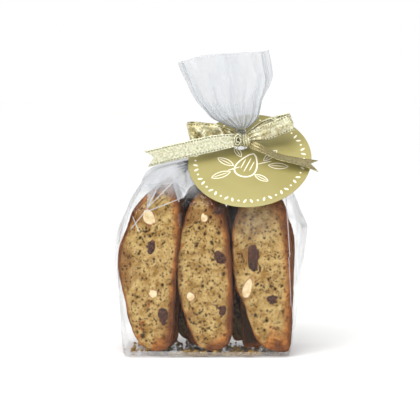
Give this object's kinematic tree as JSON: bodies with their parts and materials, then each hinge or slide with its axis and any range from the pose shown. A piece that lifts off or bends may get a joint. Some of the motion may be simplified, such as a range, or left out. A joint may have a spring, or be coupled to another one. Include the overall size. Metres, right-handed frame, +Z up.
{
  "type": "bag of biscotti",
  "caption": "Clear gusseted film bag of sliced almond and raisin biscotti, gathered and tied with a ribbon bow through a round card collar",
  "frame": {"origin": "centre of the bag's flat base", "axes": "+Z up towards the fanned top, +X to the right as seen from the front, -Y towards the front, where the collar card tips down"},
  "size_m": [0.1231, 0.0657, 0.1811],
  "materials": {
    "film": "clear gloss",
    "ribbon": "woven with a metallic thread",
    "card": "satin print",
    "biscuit": "open baked crumb",
    "almond": "cut nut",
    "raisin": "wrinkled dried fruit"
  },
  "bodies": {
    "root": {"bag": "film", "ribbon": "ribbon", "tag": "card"}
  },
  "joints": []
}
